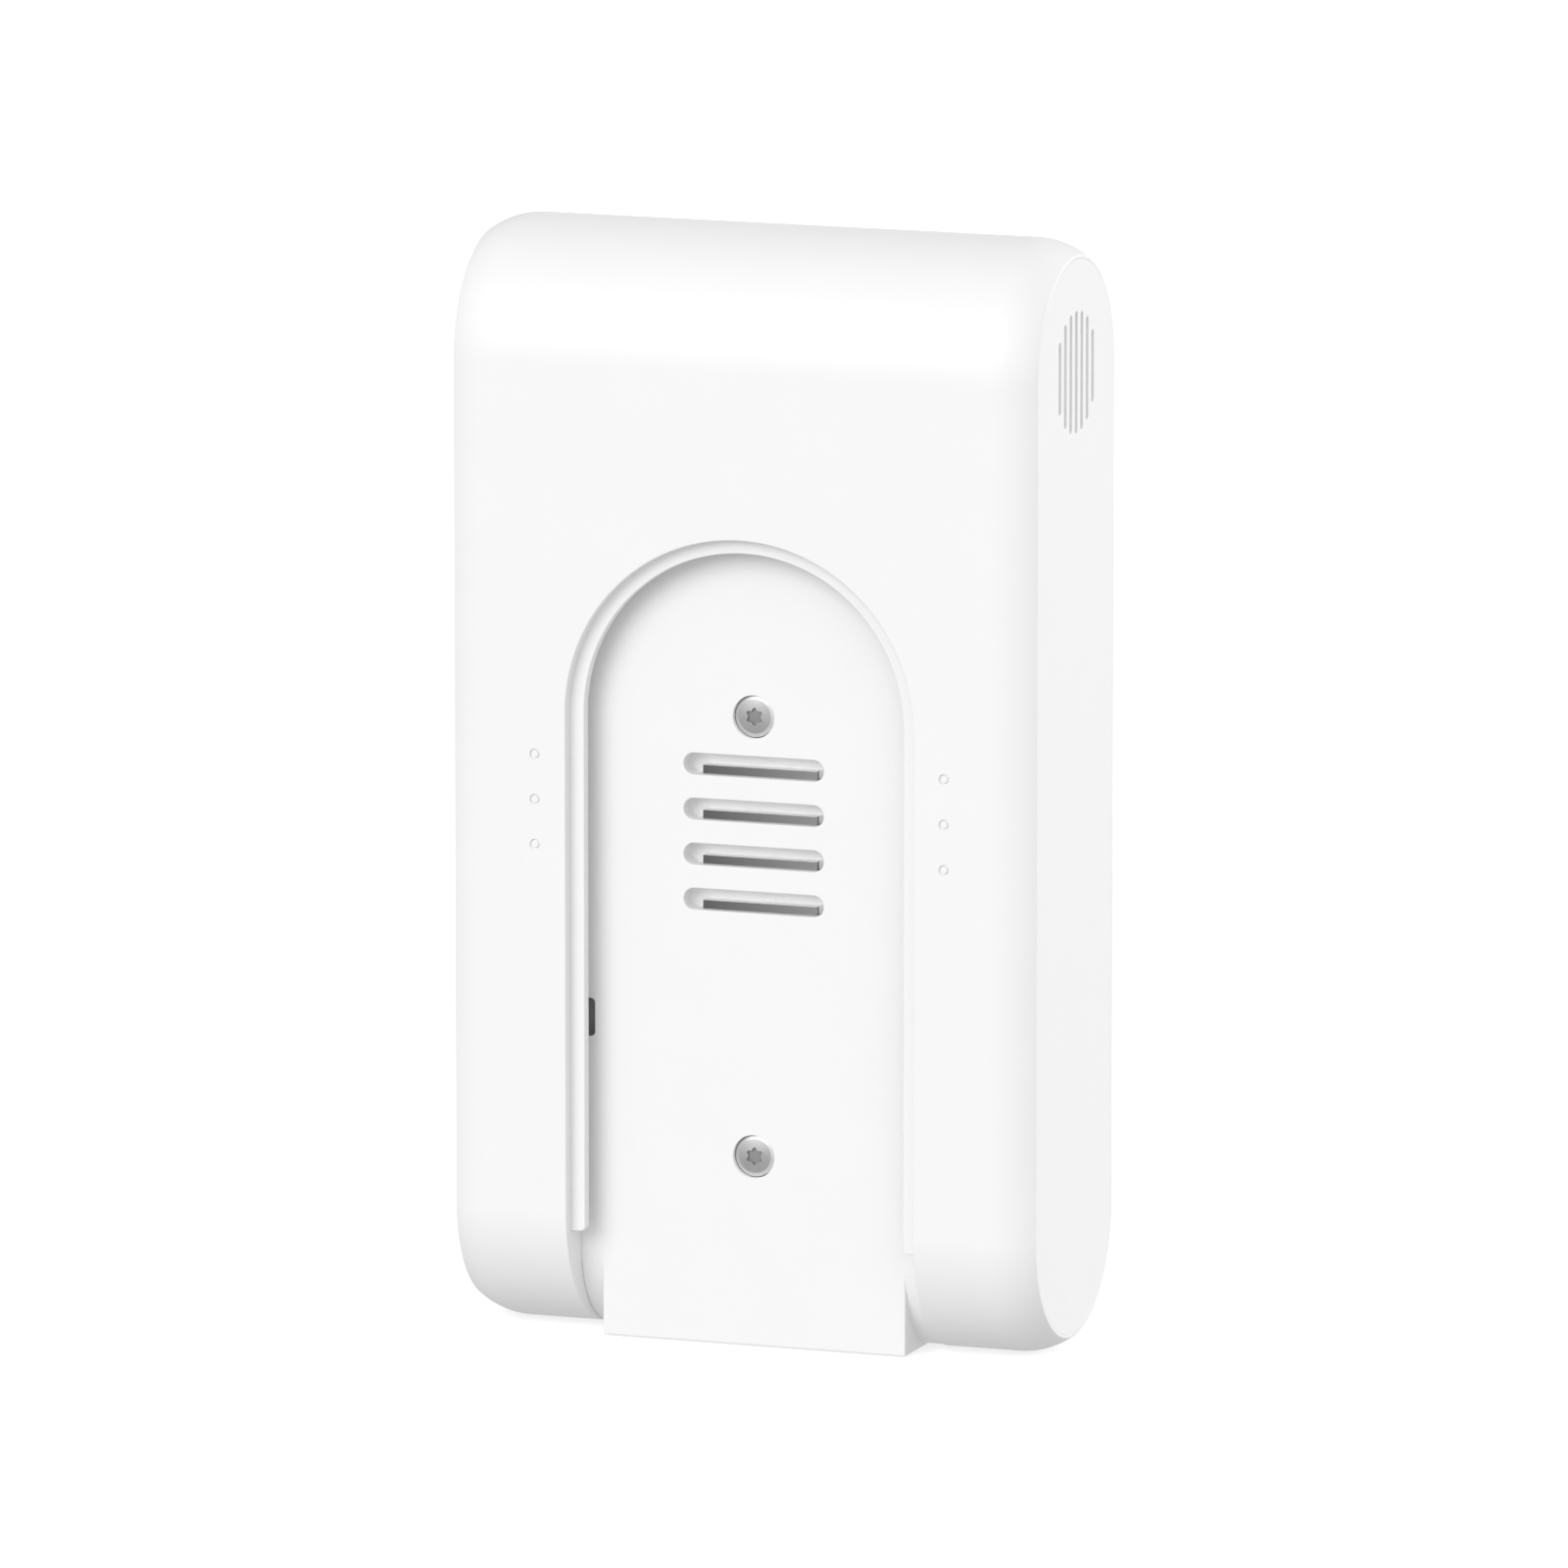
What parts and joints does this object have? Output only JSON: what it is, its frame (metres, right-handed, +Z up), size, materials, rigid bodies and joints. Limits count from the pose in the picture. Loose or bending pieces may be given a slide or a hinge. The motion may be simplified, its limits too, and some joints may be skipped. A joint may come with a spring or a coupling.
{
  "type": "cordless vacuum battery pack",
  "caption": "Slide-on rechargeable battery pack with an arch-shaped dock recess, undercut rails, recessed contact slots, a tongue and round side vents.",
  "frame": {"origin": "centre of the casing's bounding box", "axes": "+Z up along the length, -Y out of the dock side, +X to the right when the dock side is faced"},
  "size_m": [0.076, 0.0326, 0.1384],
  "materials": {
    "case_white": "fine satin moulded white",
    "dock_white": "fine satin moulded white",
    "block_white": "moulded white",
    "screw_steel": "plated steel",
    "contact_metal": "dull plated copper alloy",
    "holder_black": "matt black",
    "cell_sleeve": "shrunk sleeve",
    "insulator_paper": "fish paper",
    "nickel": "rolled nickel",
    "board_dark": "solder mask",
    "chip_black": "moulded epoxy",
    "capacitor_tan": "ceramic body",
    "socket_ivory": "moulded nylon",
    "lead_red": "silicone sleeve",
    "lead_black": "silicone sleeve",
    "flex_amber": "polyimide film",
    "bead_green": "epoxy bead",
    "foam_grey": "open-cell foam",
    "filter_mesh": "fine woven mesh",
    "led_cream": "moulded epoxy",
    "guide_clear": "clear moulding"
  },
  "bodies": {
    "root": {"rear_shell": "case_white", "front_shell": "case_white", "side_cap_left": "case_white", "side_cap_right": "case_white", "dock_plate": "dock_white", "dock_screws": "screw_steel", "terminal_block": "block_white", "contact_blade_1": "contact_metal", "contact_blade_2": "contact_metal", "contact_blade_3": "contact_metal", "contact_blade_4": "contact_metal", "cell_holder_left": "holder_black", "cell_holder_right": "holder_black", "cross_bar_upper": "holder_black", "cross_bar_lower": "holder_black", "cell_1": "cell_sleeve", "cell_2": "cell_sleeve", "cell_3": "cell_sleeve", "cell_4": "cell_sleeve", "cell_5": "cell_sleeve", "cell_6": "cell_sleeve", "cell_7": "cell_sleeve", "cell_insulators": "insulator_paper", "nickel_strips_left": "nickel", "nickel_strips_right": "nickel", "insulation_sheet_left": "insulator_paper", "insulation_sheet_right": "insulator_paper", "protection_board": "board_dark", "power_transistors": "chip_black", "controller_chip": "chip_black", "board_capacitors": "capacitor_tan", "shunt_resistor": "screw_steel", "sense_sockets": "socket_ivory", "board_screws": "screw_steel", "positive_lead": "lead_red", "negative_lead": "lead_black", "sense_flex_left": "flex_amber", "sense_flex_right": "flex_amber", "thermistor": "bead_green", "foam_pads": "foam_grey", "vent_filter_left": "filter_mesh", "vent_filter_right": "filter_mesh", "led_board": "board_dark", "status_leds": "led_cream", "light_guide": "guide_clear"}
  },
  "joints": []
}
